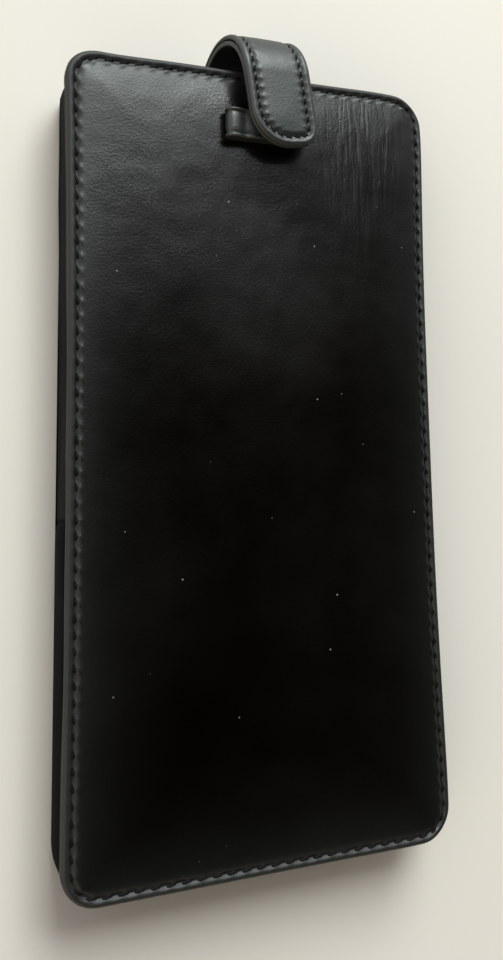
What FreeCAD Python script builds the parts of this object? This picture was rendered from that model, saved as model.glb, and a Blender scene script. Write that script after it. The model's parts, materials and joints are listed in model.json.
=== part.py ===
import FreeCAD, Part
import math
import os

# A slim leather case lying on its back.  X runs across it, +Y towards the strap
# end and +Z out of its front.  The origin is the centre of the back's outer face.
# All sizes are millimetres and all angles degrees.

# ---- Front panel ----
PANEL_W = 106.0            # width
PANEL_L = 212.0            # length
PANEL_R = 9.0              # corner radius
CASE_T = 20.0              # back face to front face
FRONT_LINING_EDGE = 2.1    # thickness of the lining's turned edge
FRONT_OUTER_EDGE = 2.3     # thickness of the outer leather's turned edge
FRONT_SKIN = 1.2           # outer leather over the board
FRONT_LINING_SKIN = 0.6    # lining under the board
FRONT_TURN_W = 6.0         # width of both turned edges
EDGE_ROUND = 0.8           # rounding of a turned edge
BOARD_GAP = 0.1            # clearance round a board

# ---- Back panel and side walls ----
SIDE_INSET = 0.8           # walls stand this far inside the front panel, at the sides
END_INSET = 1.4            # and this far at the two ends
BODY_R = 9.0              # corner radius of back and walls
WALL_T = 1.2               # wall leather
WALL_LINING_T = 0.6
FLANGE_W = 7.0             # inward flanges that the panels are sewn to
BACK_T = 1.2               # back outer leather
BACK_LINING_T = 0.6
BACK_ROUND = 0.5
LINING_GAP = 0.1           # clearance round the back lining
LINING_MOUTH_INSET = 3.0   # back lining stops short of the mouth's edge
JOIN_Y_BACK = -18.6        # slanted joint between lower and upper wall leather
JOIN_Y_FRONT = -15.6
WALL_END_BACK = 6.8        # upper walls stop this far short of the back's top edge
WALL_END_FRONT = 3.8

# ---- Seams: each seam is one bead of thread in a groove ----
SEAM_INSET = 2.6
SEAM_W = 0.7
SEAM_DEPTH = 0.5
BACK_SEAM_DEPTH = 0.4
SIDE_SEAM_Z = 6.2          # seam along the upper walls, above the back face
SIDE_SEAM_MARGIN = 3.0     # it stops this far from both ends of the wall

# ---- Strap ----
STRAP_W = 19.0
STRAP_T = 3.2              # two plies
STRAP_X = 2.35             # strap's middle, where its straight length meets the arch
STRAP_SLANT = 8.0          # degrees that the strap runs askew, its tip to the right
STRAP_GAP = 0.3            # strap to the bridge that it rests over
STRAP_TIP_Y = 23.0         # tip stops this far short of the front panel's top edge
TIP_R_LEFT = 11.0
TIP_R_RIGHT = 5.0
ARCH_SET_BACK = 2.0        # arch centre, inside the front panel's top edge
ROOT_Z = 2.4               # middle of the strap where the arch starts
ROOT_AXIS_GAP = 1.6        # root fold axis, outside the back's top edge
FOLD_GAP = 0.1             # radial clearance at the root fold
FOLD_RELIEF = 0.3          # arch stops this far short of the crown fold's round
ROOT_STRIP_L = 30.0        # part of the strap sewn inside the back
ROOT_NOTCH_GAP = 0.1
TAPE_T = 0.6
TAPE_W = 11.0
TAPE_END_ANGLE = 10.0      # tape stops this far round the arch from each fold

# ---- Bridge under the strap tip ----
BRIDGE_W = 23.0
BRIDGE_L = 8.4
BRIDGE_H = 4.4
BRIDGE_FROM_TOP = 16.5     # bridge middle, below the front panel's top edge
BRIDGE_LEATHER_T = 1.3
CREASE_IN = 1.0            # creases in from the bridge's two edges
CREASE_W = 0.5
CREASE_DEPTH = 0.35

# ---- Press stud ----
SNAP_X = 4.0               # under the middle of the slanted strap tip
SHANK_R = 1.0
WASHER_R = 3.5
WASHER_T = 0.5
WASHER_GAP = 0.2
STUD_FLANGE_R = 3.2
STUD_FLANGE_T = 0.4
STUD_NECK_R = 1.0
STUD_NECK_H = 0.5
STUD_HEAD_R = 1.5
STUD_HEAD_H = 0.7
SOCKET_R = 4.6
SOCKET_BORE_R = 3.2        # wide enough for the strap to swing off the stud from either fold
SOCKET_SET_IN = 0.4        # socket's mouth, above the strap's inner face
SPRING_WIRE_R = 0.25
CAP_R = 5.0
CAP_T = 0.5

# ---- Worked-out sizes ----
BODY_W = PANEL_W - 2 * SIDE_INSET
BODY_L = PANEL_L - 2 * END_INSET
BODY_TOP = BODY_L / 2
MOUTH_X = BODY_W / 2 - BODY_R      # the open top end has no wall or flange inside this
PANEL_TOP = PANEL_L / 2
FRONT_Z = CASE_T - FRONT_OUTER_EDGE - FRONT_LINING_EDGE
PLY_Z = FRONT_Z + FRONT_LINING_EDGE
SKIN_Z = CASE_T - FRONT_SKIN
BACK_FLANGE_Z = BACK_T + WALL_T
BACK_LINING_Z = BACK_FLANGE_Z + BACK_LINING_T
FAR = PANEL_W + PANEL_L    # longer than anything here, for cutting tools

BRIDGE_Y = PANEL_TOP - BRIDGE_FROM_TOP
BRIDGE_TOP = CASE_T + BRIDGE_H
LEG_Z = BRIDGE_TOP + STRAP_GAP + STRAP_T / 2
ARCH_R = (LEG_Z - ROOT_Z) / 2
ARCH_Y = PANEL_TOP - ARCH_SET_BACK
ARCH_Z = (LEG_Z + ROOT_Z) / 2
WIDE_X0 = STRAP_X - 2 * STRAP_W    # well clear of the strap on both sides
WIDE_X1 = STRAP_X + 2 * STRAP_W
TIP_Y = PANEL_TOP - STRAP_TIP_Y
HALF_T = STRAP_T / 2
ROOT_AXIS_Y = BODY_TOP + ROOT_AXIS_GAP
ROOT_ANGLE = math.degrees(math.asin((ROOT_AXIS_Y - ARCH_Y) / ARCH_R))
SLANT_TAN = math.tan(math.radians(STRAP_SLANT))
ROOT_X = STRAP_X - ARCH_R * math.radians(180 - ROOT_ANGLE) * SLANT_TAN
ROOT_X0 = ROOT_X - STRAP_W / 2
ROOT_X1 = ROOT_X + STRAP_W / 2
CROWN_ANGLE = 90.0
RELIEF_ANGLE = math.degrees(math.asin((HALF_T + FOLD_RELIEF) / ARCH_R))


def vec(x, y, z):
    return FreeCAD.Vector(x, y, z)


def plate(x0, x1, y0, y1, radii, z0, z1):
    """Flat plate with rounded corners: lower left, lower right, upper right, upper left."""
    corners = [vec(x0, y0, z0), vec(x1, y0, z0), vec(x1, y1, z0), vec(x0, y1, z0)]
    heading = [vec(0, -1, 0), vec(1, 0, 0), vec(0, 1, 0), vec(-1, 0, 0), vec(0, -1, 0)]
    starts, ends, edges = [], [], []
    for i, corner in enumerate(corners):
        starts.append(corner - heading[i] * radii[i])
        ends.append(corner + heading[i + 1] * radii[i])
    for i, corner in enumerate(corners):
        if radii[i] > 0:
            outwards = (heading[i] - heading[i + 1]) * (radii[i] / math.sqrt(2))
            middle = starts[i] + heading[i + 1] * radii[i] + outwards
            edges.append(Part.Arc(starts[i], middle, ends[i]).toShape())
        edges.append(Part.LineSegment(ends[i], starts[(i + 1) % 4]).toShape())
    return Part.Face(Part.Wire(edges)).extrude(vec(0, 0, z1 - z0))


def inset_plate(width, length, radius, inset, z0, z1):
    """Rounded plate about the origin, drawn in from a stated outline by inset."""
    x, y, r = width / 2 - inset, length / 2 - inset, radius - inset
    return plate(-x, x, -y, y, [r] * 4, z0, z1)


def panel_plate(inset, z0, z1):
    return inset_plate(PANEL_W, PANEL_L, PANEL_R, inset, z0, z1)


def body_plate(inset, z0, z1):
    return inset_plate(BODY_W, BODY_L, BODY_R, inset, z0, z1)


def ring(make, outside, inside, z0, z1):
    """What lies between two insets of the same outline."""
    return make(outside, z0, z1).cut(make(inside, z0, z1))


def box(x0, x1, y0, y1, z0, z1):
    return Part.makeBox(x1 - x0, y1 - y0, z1 - z0, vec(x0, y0, z0))


def post(x, y, radius, z0, z1):
    return Part.makeCylinder(radius, z1 - z0, vec(x, y, z0))


def cross_bar(y, z, radius):
    """Round bar along X, longer than the strap is wide."""
    return Part.makeCylinder(radius, WIDE_X1 - WIDE_X0, vec(WIDE_X0, y, z), vec(1, 0, 0))


def side_prism(points):
    """Prism with a (y, z) outline, right across the case."""
    outline = [vec(-FAR, y, z) for y, z in points]
    return Part.Face(Part.makePolygon(outline + outline[:1])).extrude(vec(2 * FAR, 0, 0))


def round_rim(solid, radius, z):
    """Fillet every edge that lies at height z."""
    rim = [e for e in solid.Edges
           if abs(e.BoundBox.ZMin - z) < 1e-6 and abs(e.BoundBox.ZMax - z) < 1e-6]
    return solid.makeFillet(radius, rim)


# ---- Front panel: outer leather and lining, turned round a board ----
def front_board():
    board = panel_plate(FRONT_TURN_W + BOARD_GAP, FRONT_Z + FRONT_LINING_SKIN, SKIN_Z)
    pocket = post(SNAP_X, BRIDGE_Y, WASHER_R + WASHER_GAP, SKIN_Z - WASHER_T - BOARD_GAP, SKIN_Z)
    return board.cut(pocket)


def front_outer_leather():
    leather = panel_plate(0, PLY_Z, CASE_T)
    leather = round_rim(round_rim(leather, EDGE_ROUND, CASE_T), EDGE_ROUND, PLY_Z)
    leather = leather.cut(panel_plate(FRONT_TURN_W, PLY_Z, SKIN_Z))
    return leather.cut(front_seam_thread()).cut(post(SNAP_X, BRIDGE_Y, SHANK_R, SKIN_Z, CASE_T))


def front_lining():
    lining = panel_plate(0, FRONT_Z, PLY_Z)
    lining = round_rim(round_rim(lining, EDGE_ROUND, FRONT_Z), EDGE_ROUND, PLY_Z)
    lining = lining.cut(panel_plate(FRONT_TURN_W, FRONT_Z + FRONT_LINING_SKIN, PLY_Z))
    return lining.cut(front_bobbin_thread())


def front_seam_thread():
    return ring(panel_plate, SEAM_INSET, SEAM_INSET + SEAM_W, CASE_T - SEAM_DEPTH, CASE_T)


def front_bobbin_thread():
    # Only the open top end is bare; elsewhere the seam's underside is behind the flange.
    seam = ring(panel_plate, SEAM_INSET, SEAM_INSET + SEAM_W, FRONT_Z, FRONT_Z + SEAM_DEPTH)
    return seam.common(box(-MOUTH_X, MOUTH_X, 0, FAR, FRONT_Z, PLY_Z))


# ---- Side walls: channels that open inwards ----
def slanted(y_back, y_front, upwards):
    """Everything above or below a slanted line from the back face to the front face."""
    far = FAR if upwards else -FAR
    return side_prism([(y_back, 0), (y_front, CASE_T), (far, CASE_T), (far, 0)])


def below_join():
    return slanted(JOIN_Y_BACK, JOIN_Y_FRONT, False)


def above_join():
    return slanted(JOIN_Y_BACK, JOIN_Y_FRONT, True)


def below_mouth():
    return slanted(BODY_TOP - WALL_END_BACK, BODY_TOP - WALL_END_FRONT, False)


def wall_channel():
    wall = ring(body_plate, 0, WALL_T, BACK_T, FRONT_Z)
    back_flange = ring(body_plate, 0, FLANGE_W, BACK_T, BACK_FLANGE_Z)
    front_flange = ring(body_plate, 0, FLANGE_W, FRONT_Z - WALL_T, FRONT_Z)
    channel = wall.fuse([back_flange, front_flange]).removeSplitter()
    return channel.cut(side_seam_threads())


def wall_lining():
    return ring(body_plate, WALL_T, WALL_T + WALL_LINING_T, BACK_FLANGE_Z, FRONT_Z - WALL_T)


def side_seam_threads():
    bead = ring(body_plate, 0, BACK_SEAM_DEPTH, SIDE_SEAM_Z, SIDE_SEAM_Z + SEAM_W)
    y0 = max(JOIN_Y_BACK, JOIN_Y_FRONT) + SIDE_SEAM_MARGIN
    y1 = BODY_TOP - max(WALL_END_BACK, WALL_END_FRONT) - SIDE_SEAM_MARGIN
    return bead.common(box(-FAR, FAR, y0, y1, 0, CASE_T))


def upper_zone(side):
    """Where the left (-1) or right (+1) upper wall may be."""
    x0, x1 = (MOUTH_X, FAR) if side > 0 else (-FAR, -MOUTH_X)
    return above_join().common(below_mouth()).common(box(x0, x1, -FAR, FAR, 0, CASE_T))


# ---- Back panel ----
def back_outer_leather():
    leather = round_rim(body_plate(0, 0, BACK_T), BACK_ROUND, 0)
    top_half = box(-FAR, FAR, 0, FAR, 0, CASE_T)
    hem = ring(body_plate, 0, FLANGE_W, BACK_T, BACK_FLANGE_Z).common(top_half)
    hem = hem.cut([upper_zone(-1), upper_zone(1), below_join(), root_notch()])
    leather = leather.fuse(hem).removeSplitter()
    return leather.cut(back_seam_thread()).cut(strap_root_thread())


def back_board():
    return body_plate(FLANGE_W + BOARD_GAP, BACK_T, BACK_FLANGE_Z).cut(root_notch())


def back_lining():
    inset = WALL_T + WALL_LINING_T + LINING_GAP
    lining = body_plate(inset, BACK_FLANGE_Z, BACK_LINING_Z)
    top = BODY_TOP - LINING_MOUTH_INSET
    return lining.common(box(-FAR, FAR, -FAR, top, 0, CASE_T))


def back_seam_thread():
    return ring(body_plate, SEAM_INSET, SEAM_INSET + SEAM_W, 0, BACK_SEAM_DEPTH)


# ---- Strap root, sewn between the back leather and its board ----
def root_notch():
    x0, x1 = ROOT_X0 - ROOT_NOTCH_GAP, ROOT_X1 + ROOT_NOTCH_GAP
    y0 = BODY_TOP - ROOT_STRIP_L - ROOT_NOTCH_GAP
    return box(x0, x1, y0, FAR, BACK_T, BACK_FLANGE_Z)


def strap_root_leather():
    seat_face = ROOT_AXIS_Y - HALF_T - FOLD_GAP
    strip = box(ROOT_X0, ROOT_X1, BODY_TOP - ROOT_STRIP_L, seat_face, BACK_T, BACK_FLANGE_Z)
    hood = box(ROOT_X0, ROOT_X1, BODY_TOP - LINING_MOUTH_INSET + LINING_GAP,
               ROOT_AXIS_Y - HALF_T / 2, BACK_FLANGE_Z, ROOT_Z + STRAP_T)
    round_end = cross_bar(ROOT_AXIS_Y, root_axis_z(), HALF_T + FOLD_GAP)
    over_arch = cross_bar(ARCH_Y, ARCH_Z, ARCH_R - HALF_T - FOLD_GAP)
    return strip.fuse(hood).removeSplitter().cut(round_end).cut(over_arch)


def strap_root_thread():
    edge = SEAM_INSET + FOLD_RELIEF
    x0, x1 = ROOT_X0 + edge, ROOT_X1 - edge
    y0 = BODY_TOP - ROOT_STRIP_L + SEAM_INSET
    y1 = BODY_TOP - FLANGE_W
    outer = box(x0, x1, y0, y1, 0, BACK_SEAM_DEPTH)
    return outer.cut(box(x0 + SEAM_W, x1 - SEAM_W, y0 + SEAM_W, y1 - SEAM_W, 0, BACK_SEAM_DEPTH))


# ---- Strap: an arch from the root fold to the crown fold, then the tip ----
def on_arch(offset, angle, x):
    """Point offset outwards from the strap's middle surface, angle round from its lowest point."""
    radius, turn = ARCH_R + offset, math.radians(angle)
    return vec(x, ARCH_Y + radius * math.sin(turn), ARCH_Z - radius * math.cos(turn))


def root_axis_z():
    return on_arch(0, ROOT_ANGLE, 0).z


def arch_band(low, high, angle0, angle1):
    """Curved band between two offsets from the strap's middle surface, wider than the strap."""
    middle = (angle0 + angle1) / 2
    outer = [on_arch(high, a, WIDE_X0) for a in (angle0, middle, angle1)]
    inner = [on_arch(low, a, WIDE_X0) for a in (angle1, middle, angle0)]
    edges = [Part.Arc(*outer).toShape(), Part.LineSegment(outer[2], inner[0]).toShape(),
             Part.Arc(*inner).toShape(), Part.LineSegment(inner[2], outer[0]).toShape()]
    return Part.Face(Part.Wire(edges)).extrude(vec(WIDE_X1 - WIDE_X0, 0, 0))


def fold_round(angle, low, high):
    """The half of a fold's round end that belongs to the ply between two offsets."""
    axis = on_arch(0, angle, 0)
    bar = cross_bar(axis.y, axis.z, HALF_T)
    inside = cross_bar(ARCH_Y, ARCH_Z, ARCH_R)
    return bar.common(inside) if high <= 0 else bar.cut(inside)


def arch_section(inset, angle):
    """The strap's width, inset from both edges, as a tall rectangle at an angle round the arch."""
    middle = STRAP_X - ARCH_R * math.radians(180 - angle) * SLANT_TAN
    half = (STRAP_W / 2 - inset) / math.cos(math.radians(STRAP_SLANT))
    corners = [on_arch(-STRAP_T, angle, middle - half), on_arch(STRAP_T, angle, middle - half),
               on_arch(STRAP_T, angle, middle + half), on_arch(-STRAP_T, angle, middle + half)]
    return Part.makePolygon(corners + corners[:1])


def strap_outline(inset):
    """The strap's slanted outline with its rounded tip, as a band thicker than the strap."""
    radii = [TIP_R_LEFT - inset, TIP_R_RIGHT - inset, 0, 0]
    half = STRAP_W / 2 - inset
    length = (ARCH_Y - TIP_Y) / math.cos(math.radians(STRAP_SLANT))
    leg = plate(-half, half, inset - length, FAR, radii, LEG_Z - STRAP_T, LEG_Z + STRAP_T)
    leg.rotate(vec(0, 0, 0), vec(0, 0, 1), STRAP_SLANT)
    leg.translate(vec(STRAP_X, ARCH_Y, 0))
    leg = leg.common(box(-FAR, FAR, 0, ARCH_Y, 0, FAR))
    sections = [arch_section(inset, angle) for angle in range(180, -13, -12)]
    return leg.fuse(Part.makeLoft(sections, True, False))


def seam_band():
    return strap_outline(SEAM_INSET).cut(strap_outline(SEAM_INSET + SEAM_W))


def tape_outline():
    return strap_outline((STRAP_W - TAPE_W) / 2)


def arch_ply(low, high):
    band = arch_band(low, high, ROOT_ANGLE, CROWN_ANGLE - RELIEF_ANGLE)
    return band.fuse(fold_round(ROOT_ANGLE, low, high)).removeSplitter().common(strap_outline(0))


def strap_arch_tape():
    angles = ROOT_ANGLE + TAPE_END_ANGLE, CROWN_ANGLE - RELIEF_ANGLE - TAPE_END_ANGLE
    return arch_band(-TAPE_T / 2, TAPE_T / 2, *angles).common(tape_outline())


def strap_arch_threads():
    shell = arch_band(HALF_T - SEAM_DEPTH, HALF_T, ROOT_ANGLE + TAPE_END_ANGLE,
                      CROWN_ANGLE - RELIEF_ANGLE)
    return shell.common(seam_band())


def tip_band(low, high, angle0, y0):
    """Band of the tip: the arch from an angle up to its top, then straight down the front."""
    leg = box(WIDE_X0, WIDE_X1, y0, ARCH_Y, LEG_Z + low, LEG_Z + high)
    return arch_band(low, high, angle0, 180).fuse(leg).removeSplitter()


def tip_ply(low, high):
    band = tip_band(low, high, CROWN_ANGLE, TIP_Y - STRAP_W)
    return band.fuse(fold_round(CROWN_ANGLE, low, high)).removeSplitter().common(strap_outline(0))


def strap_tip_tape():
    band = tip_band(-TAPE_T / 2, TAPE_T / 2, CROWN_ANGLE + TAPE_END_ANGLE,
                    BRIDGE_Y + CAP_R + TAPE_T)
    return band.common(tape_outline())


def strap_tip_thread():
    shell = tip_band(HALF_T - SEAM_DEPTH, HALF_T, CROWN_ANGLE, TIP_Y - STRAP_W)
    return shell.common(seam_band())


def strap_tip_outer():
    cap = post(SNAP_X, BRIDGE_Y, CAP_R, LEG_Z, LEG_Z + CAP_T)
    return tip_ply(0, HALF_T).cut([strap_tip_tape(), strap_tip_thread(), cap])


def strap_tip_inner():
    socket = post(SNAP_X, BRIDGE_Y, SOCKET_R, LEG_Z - HALF_T, LEG_Z)
    return tip_ply(-HALF_T, 0).cut([strap_tip_tape(), socket])


# ---- Bridge on the front panel, which the strap tip rests over ----
def bridge_slab(inset, y0, y1):
    """Flat slab with fully rounded left and right ends, drawn in by inset all round."""
    radius = BRIDGE_H / 2 - inset
    middle = CASE_T + BRIDGE_H / 2
    reach = (BRIDGE_W - BRIDGE_H) / 2
    slab = box(-reach, reach, y0, y1, middle - radius, middle + radius)
    ends = [Part.makeCylinder(radius, y1 - y0, vec(x, y0, middle), vec(0, 1, 0))
            for x in (-reach, reach)]
    return slab.fuse(ends).removeSplitter()


def bridge_leather():
    y0, y1 = BRIDGE_Y - BRIDGE_L / 2, BRIDGE_Y + BRIDGE_L / 2
    leather = bridge_slab(0, y0, y1).cut(bridge_slab(BRIDGE_LEATHER_T, y0, y1))
    for start in (y0 + CREASE_IN, y1 - CREASE_IN - CREASE_W):
        crease = bridge_slab(0, start, start + CREASE_W)
        leather = leather.cut(crease.cut(bridge_slab(CREASE_DEPTH, start, start + CREASE_W)))
    return leather.cut(post(SNAP_X, BRIDGE_Y, SHANK_R, CASE_T, BRIDGE_TOP))


def bridge_core():
    y0, y1 = BRIDGE_Y - BRIDGE_L / 2, BRIDGE_Y + BRIDGE_L / 2
    core = bridge_slab(BRIDGE_LEATHER_T, y0, y1)
    return core.cut(post(SNAP_X, BRIDGE_Y, SHANK_R, CASE_T, BRIDGE_TOP))


# ---- Press stud: stud and washer on the bridge, socket, spring and cap in the strap ----
def snap_stud():
    z = BRIDGE_TOP
    stud = post(SNAP_X, BRIDGE_Y, SHANK_R, SKIN_Z - WASHER_T, z)
    for radius, height in ((STUD_FLANGE_R, STUD_FLANGE_T), (STUD_NECK_R, STUD_NECK_H),
                           (STUD_HEAD_R, STUD_HEAD_H)):
        stud = stud.fuse(post(SNAP_X, BRIDGE_Y, radius, z, z + height))
        z += height
    return stud.removeSplitter()


def snap_washer():
    low = SKIN_Z - WASHER_T
    return post(SNAP_X, BRIDGE_Y, WASHER_R, low, SKIN_Z).cut(post(SNAP_X, BRIDGE_Y, SHANK_R, low, SKIN_Z))


def spring_z():
    return LEG_Z - HALF_T / 2


def snap_spring():
    return Part.makeTorus(SOCKET_BORE_R, SPRING_WIRE_R, vec(SNAP_X, BRIDGE_Y, spring_z()))


def snap_socket():
    low = LEG_Z - HALF_T + SOCKET_SET_IN
    socket = post(SNAP_X, BRIDGE_Y, SOCKET_R, low, LEG_Z)
    return socket.cut([post(SNAP_X, BRIDGE_Y, SOCKET_BORE_R, low, LEG_Z), snap_spring()])


def snap_cap():
    return post(SNAP_X, BRIDGE_Y, CAP_R, LEG_Z, LEG_Z + CAP_T)


NODES = {
    "front_outer_leather": front_outer_leather(),
    "front_board": front_board(),
    "front_lining": front_lining(),
    "front_seam_thread": front_seam_thread(),
    "front_bobbin_thread": front_bobbin_thread(),
    "gusset_lower_leather": wall_channel().common(below_join()),
    "gusset_upper_left_leather": wall_channel().common(upper_zone(-1)),
    "gusset_upper_right_leather": wall_channel().common(upper_zone(1)),
    "gusset_lower_lining": wall_lining().common(below_join()),
    "gusset_upper_left_lining": wall_lining().common(upper_zone(-1)),
    "gusset_upper_right_lining": wall_lining().common(upper_zone(1)),
    "gusset_side_threads": side_seam_threads(),
    "back_outer_leather": back_outer_leather(),
    "back_board": back_board(),
    "back_lining": back_lining(),
    "back_seam_thread": back_seam_thread(),
    "strap_root_leather": strap_root_leather(),
    "strap_root_thread": strap_root_thread(),
    "strap_arch_outer": arch_ply(0, HALF_T).cut([strap_arch_tape(), strap_arch_threads()]),
    "strap_arch_inner": arch_ply(-HALF_T, 0).cut(strap_arch_tape()),
    "strap_arch_tape": strap_arch_tape(),
    "strap_arch_threads": strap_arch_threads(),
    "strap_tip_outer": strap_tip_outer(),
    "strap_tip_inner": strap_tip_inner(),
    "strap_tip_tape": strap_tip_tape(),
    "strap_tip_thread": strap_tip_thread(),
    "bridge_leather": bridge_leather(),
    "bridge_core": bridge_core(),
    "snap_stud": snap_stud(),
    "snap_washer": snap_washer(),
    "snap_socket": snap_socket(),
    "snap_spring": snap_spring(),
    "snap_cap": snap_cap(),
}

os.makedirs("parts", exist_ok=True)
for name, shape in NODES.items():
    shape.exportStep("parts/" + name + ".step")
    size = shape.BoundBox
    print(name, "solids", len(shape.Solids), "valid", shape.isValid(),
          "volume", round(shape.Volume, 1), "y", round(size.YMin, 2), round(size.YMax, 2),
          "z", round(size.ZMin, 2), round(size.ZMax, 2))
print("root fold axis", round(ROOT_AXIS_Y, 3), round(root_axis_z(), 3))
print("crown fold axis", round(on_arch(0, CROWN_ANGLE, 0).y, 3), round(ARCH_Z, 3))
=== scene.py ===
import json
import math

import bpy
import numpy as np
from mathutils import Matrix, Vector, noise


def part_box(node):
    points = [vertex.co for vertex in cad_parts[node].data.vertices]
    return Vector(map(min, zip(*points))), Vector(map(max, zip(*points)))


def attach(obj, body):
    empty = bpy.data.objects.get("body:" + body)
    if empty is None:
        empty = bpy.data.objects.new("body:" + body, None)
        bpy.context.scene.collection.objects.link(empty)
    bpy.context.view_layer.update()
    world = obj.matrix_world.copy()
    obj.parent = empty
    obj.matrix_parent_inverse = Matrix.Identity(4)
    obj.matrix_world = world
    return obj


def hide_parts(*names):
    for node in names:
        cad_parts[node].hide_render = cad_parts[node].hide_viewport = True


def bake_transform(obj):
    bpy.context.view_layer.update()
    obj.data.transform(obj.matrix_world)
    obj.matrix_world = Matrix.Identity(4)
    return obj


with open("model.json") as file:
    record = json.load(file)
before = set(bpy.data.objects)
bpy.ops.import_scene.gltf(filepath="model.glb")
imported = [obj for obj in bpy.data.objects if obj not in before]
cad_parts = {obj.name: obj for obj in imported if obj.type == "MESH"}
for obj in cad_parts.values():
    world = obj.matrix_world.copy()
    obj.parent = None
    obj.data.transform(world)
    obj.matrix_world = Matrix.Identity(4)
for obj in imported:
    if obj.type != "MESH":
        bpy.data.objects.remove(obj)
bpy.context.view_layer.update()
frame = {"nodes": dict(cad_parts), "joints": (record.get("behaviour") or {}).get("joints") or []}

# Shapes are worked out in millimetres in the row frame and turned into metres by make_mesh.
MM = 0.001


# ---------------------------------------------------------------- sizes from the frame
def box_mm(node):
    low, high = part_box(node)
    return np.array(low) / MM, np.array(high) / MM


def joint_axis(name):
    """The middle, in millimetres, of a fold's axis."""
    joint = next(j for j in frame["joints"] if j["name"] == name)
    return [c / MM for c in joint["pos_m"]]


PANEL_LOW, PANEL_HIGH = box_mm("front_outer_leather")
LINING_LOW = box_mm("front_lining")[0]
BODY_HIGH = box_mm("back_outer_leather")[1]
WALL_LOW, WALL_HIGH = box_mm("gusset_lower_leather")
TIP_HIGH = box_mm("strap_tip_outer")[1]
BRIDGE_LOW, BRIDGE_HIGH = box_mm("bridge_leather")
SIDE_SEAM_LOW, SIDE_SEAM_HIGH = box_mm("gusset_side_threads")
ROOT_SEAM_LOW, ROOT_SEAM_HIGH = box_mm("strap_root_thread")
ROOT_X, ROOT_Y, ROOT_Z = joint_axis("strap_root_fold")
CROWN_X, CROWN_Y, CROWN_Z = joint_axis("strap_tip_lift")

HALF_W, HALF_L = PANEL_HIGH[0], PANEL_HIGH[1]
TOP_Z, PLY_Z, LINING_Z = PANEL_HIGH[2], PANEL_LOW[2], LINING_LOW[2]
PANEL_R = 9.0              # corners of the front panel and of the body
BODY_R = 9.0
BODY_HALF_W, BODY_HALF_L = BODY_HIGH[0], BODY_HIGH[1]

STRAP_HALF_T = 1.6
STRAP_W = 19.0
SLANT = math.radians(8)    # the strap runs askew, its tip to the right
LEG_Z = TIP_HIGH[2] - STRAP_HALF_T
ARCH_R = LEG_Z - CROWN_Z
ARCH_Y = CROWN_Y - ARCH_R
TIP_Y = 83.0               # the strap's tip
LEG_LENGTH = (ARCH_Y - TIP_Y) / math.cos(SLANT)
STRAP_X = CROWN_X + ARCH_R * math.pi / 2 * math.tan(SLANT)
TIP_R_LEFT, TIP_R_RIGHT = 11.0, 5.0

PANEL_SEAM_IN = 2.3        # each seam's distance in from the edge, and its stitches' pitch
PANEL_PITCH = 3.9
STRAP_SEAM_IN = 2.6
STRAP_PITCH = 2.6
BACK_SEAM_IN = 2.95
BACK_THREAD_Z = 0.36       # middle of the back's stitches, in their grooves
THREAD_R = 0.33            # radius of the walls' and the back's thread
FRONT_THREAD_DEPTH = 0.95  # middle of the front's stitches, below its top
STRAP_THREAD_DEPTH = 0.42


# ---------------------------------------------------------------- mesh helpers
def make_mesh(name, points, faces, flat_faces=()):
    """A smooth-shaded mesh object from points in millimetres."""
    mesh = bpy.data.meshes.new(name)
    mesh.from_pydata((np.asarray(points) * MM).tolist(), [], faces)
    mesh.validate()
    smooth = np.ones(len(mesh.polygons), bool)
    smooth[list(flat_faces)] = False
    mesh.polygons.foreach_set("use_smooth", smooth)
    mesh.update()
    piece = bpy.data.objects.new(name, mesh)
    bpy.context.scene.collection.objects.link(piece)
    return piece


def quads(rows, columns, first=0, closed=False):
    """Faces of a grid whose points run along the columns of each row."""
    faces = []
    for r in range(rows - 1):
        for c in range(columns if closed else columns - 1):
            a, b = first + r * columns + c, first + r * columns + (c + 1) % columns
            faces.append((a, b, b + columns, a + columns))
    return faces


def bell(x, middle, width):
    return np.exp(-((x - middle) / width) ** 2)


def soft_noise(points, size, seed=0.0):
    """Smooth noise from about -1 to 1 with features about size millimetres across."""
    return np.array([noise.noise(Vector((p[0] / size, p[1] / size, p[2] / size + seed)))
                     for p in points])


class Outline:
    """A rounded rectangle, walked anticlockwise from the middle of its left side."""

    def __init__(self, half_w, half_l, radius, inset):
        self.radius = radius
        x, y, arc = half_w - radius, half_l - radius, (radius - inset) * math.pi / 2
        self.pieces = [((-x, 0), (-x, -y), 180, 180, y), ((-x, -y), (-x, -y), 180, 270, arc),
                       ((-x, -y), (x, -y), 270, 270, 2 * x), ((x, -y), (x, -y), 270, 360, arc),
                       ((x, -y), (x, y), 0, 0, 2 * y), ((x, y), (x, y), 0, 90, arc),
                       ((x, y), (-x, y), 90, 90, 2 * x), ((-x, y), (-x, y), 90, 180, arc),
                       ((-x, y), (-x, 0), 180, 180, y)]
        self.starts = np.cumsum([0] + [p[4] for p in self.pieces])
        self.length = self.starts[-1]

    def at(self, s):
        """Arc centre points and outward normals at distances s along the walk."""
        s = np.mod(s, self.length)
        which = np.clip(np.searchsorted(self.starts, s, side="right") - 1, 0, len(self.pieces) - 1)
        core, angle = np.zeros(s.shape + (2,)), np.zeros(s.shape)
        for i, (a, b, angle0, angle1, length) in enumerate(self.pieces):
            here = which == i
            t = (s[here] - self.starts[i]) / length
            core[here] = np.array(a) + np.outer(t, np.array(b) - np.array(a))
            angle[here] = np.radians(angle0 + t * (angle1 - angle0))
        return core, np.stack([np.cos(angle), np.sin(angle)], -1)

    def points(self, s, inset):
        """x and y at distances s, drawn in from the outline by inset."""
        core, normal = self.at(s)
        return core + normal * (self.radius - np.asarray(inset))[..., None]


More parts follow.
